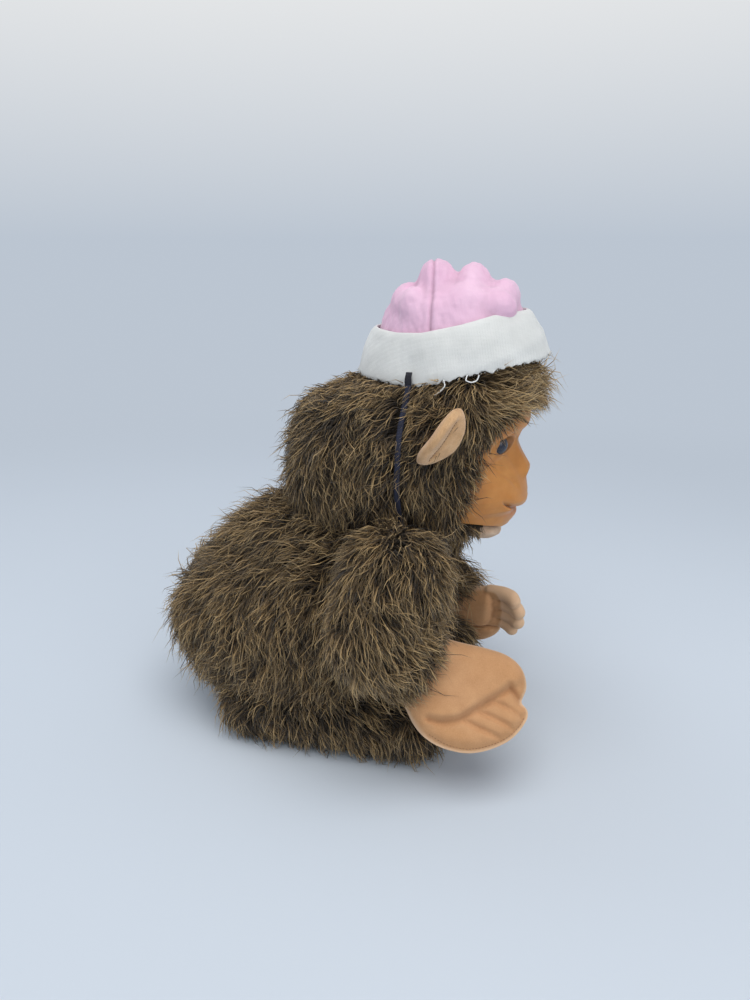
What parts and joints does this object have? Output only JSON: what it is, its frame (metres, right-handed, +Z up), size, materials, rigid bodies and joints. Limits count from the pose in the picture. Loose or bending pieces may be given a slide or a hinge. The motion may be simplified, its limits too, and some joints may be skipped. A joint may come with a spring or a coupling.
{
  "type": "stuffed monkey",
  "caption": "Sitting stuffed toy monkey in long pile fabric with a moulded face, padded velour hands, fleece ears and a soft hat on an elastic chin strap.",
  "frame": {"origin": "on the flat seat of the torso, in the mid plane, a little in front of the seat's middle", "axes": "+Z up, the face looks along -Y, the monkey's left side is +X"},
  "size_m": [0.176, 0.224, 0.2755],
  "materials": {
    "fur": "long pile plush, brown with golden tips",
    "vinyl_skin": "soft moulded vinyl, satin",
    "velour": "short velour",
    "ear_fleece": "brushed fleece",
    "chin_fleece": "brushed fleece",
    "eye_plastic": "polished",
    "washer_plastic": "moulded",
    "fibrefill": "loose polyester fibre",
    "pellet_cloth": "plain woven cloth",
    "pellets": "moulded pellets",
    "hat_pink": "soft knit",
    "hat_white": "soft knit",
    "elastic": "woven elastic",
    "thread": "sewing thread"
  },
  "bodies": {
    "torso": {"back_panel_left": "fur", "back_panel_right": "fur", "belly_panel": "fur", "torso_stuffing": "fibrefill", "pellet_bag": "pellet_cloth", "pellet_fill": "pellets", "neck_tie": "thread"},
    "neck": {"neck_gusset": "fur", "neck_stuffing": "fibrefill"},
    "head": {"head_panel_left": "fur", "head_panel_right": "fur", "head_gusset": "fur", "head_stuffing": "fibrefill", "face_mask": "vinyl_skin", "left_eye": "eye_plastic", "right_eye": "eye_plastic", "eye_washers": "washer_plastic", "chin_patch": "chin_fleece"},
    "left_ear": {"left_ear_front": "ear_fleece", "left_ear_back": "ear_fleece"},
    "right_ear": {"right_ear_front": "ear_fleece", "right_ear_back": "ear_fleece"},
    "left_arm": {"left_arm_sleeve": "fur", "left_arm_stuffing": "fibrefill"},
    "right_arm": {"right_arm_sleeve": "fur", "right_arm_stuffing": "fibrefill"},
    "left_hand": {"left_hand_palm": "velour", "left_hand_back": "velour", "left_hand_stuffing": "fibrefill", "left_thumb": "velour"},
    "right_hand": {"right_hand_palm": "velour", "right_hand_back": "velour", "right_hand_stuffing": "fibrefill", "right_thumb": "velour"},
    "left_finger_row": {"left_fingers": "velour"},
    "right_finger_row": {"right_fingers": "velour"},
    "left_leg": {"left_leg_sleeve": "fur", "left_leg_stuffing": "fibrefill"},
    "right_leg": {"right_leg_sleeve": "fur", "right_leg_stuffing": "fibrefill"},
    "hat": {"hat_crown_front": "hat_pink", "hat_crown_back": "hat_pink", "hat_cuff": "hat_white", "chin_strap": "elastic", "strap_bartacks": "thread"}
  },
  "joints": [
    {"name": "neck_turn", "type": "hinge", "parent": "torso", "child": "neck", "pos_m": [0, 0.002, 0.126], "axis": [0, 0, 1], "range_deg": [-14, 14]},
    {"name": "head_nod", "type": "hinge", "parent": "neck", "child": "head", "pos_m": [0, 0.002, 0.126], "axis": [-1, 0, 0], "range_deg": [-8, 14]},
    {"name": "right_shoulder_swing", "type": "hinge", "parent": "torso", "child": "right_arm", "pos_m": [-0.056, -0.024, 0.112], "axis": [-1, 0, 0], "range_deg": [0, 70]},
    {"name": "right_wrist_bend", "type": "hinge", "parent": "right_arm", "child": "right_hand", "pos_m": [-0.0601, -0.0443, 0.0649], "axis": [0.5802, -0.6638, 0.472], "range_deg": [-15, 25]},
    {"name": "right_finger_curl", "type": "hinge", "parent": "right_hand", "child": "right_finger_row", "pos_m": [-0.07427, -0.0721, 0.04322], "axis": [0.5802, -0.6638, 0.472], "range_deg": [-15, 35]},
    {"name": "right_hip_splay", "type": "hinge", "parent": "torso", "child": "right_leg", "pos_m": [-0.042, 0.062, 0.02], "axis": [0, 0, -1], "range_deg": [0, 30]},
    {"name": "right_ear_fold", "type": "hinge", "parent": "head", "child": "right_ear", "pos_m": [-0.0445, -0.05173, 0.1859], "axis": [-0.0002, -0.571, 0.821], "range_deg": [-6, 35]},
    {"name": "left_shoulder_swing", "type": "hinge", "parent": "torso", "child": "left_arm", "pos_m": [0.056, -0.024, 0.112], "axis": [-1, 0, 0], "range_deg": [0, 70]},
    {"name": "left_wrist_bend", "type": "hinge", "parent": "left_arm", "child": "left_hand", "pos_m": [0.061, -0.0441, 0.0481], "axis": [-0.2998, 0.0375, 0.9533], "range_deg": [-15, 25]},
    {"name": "left_finger_curl", "type": "hinge", "parent": "left_hand", "child": "left_finger_row", "pos_m": [0.05329, -0.0813, 0.04714], "axis": [-0.2998, 0.0375, 0.9533], "range_deg": [-15, 35]},
    {"name": "left_hip_splay", "type": "hinge", "parent": "torso", "child": "left_leg", "pos_m": [0.042, 0.062, 0.02], "axis": [0, 0, 1], "range_deg": [0, 30]},
    {"name": "left_ear_fold", "type": "hinge", "parent": "head", "child": "left_ear", "pos_m": [0.0445, -0.05173, 0.1859], "axis": [-0.0002, 0.571, -0.821], "range_deg": [-6, 35]},
    {"name": "hat_lift", "type": "slide", "parent": "head", "child": "hat", "axis": [0, 0.0965, 0.9953], "range_m": [0, 0.045], "deforming": ["chin_strap"]}
  ]
}
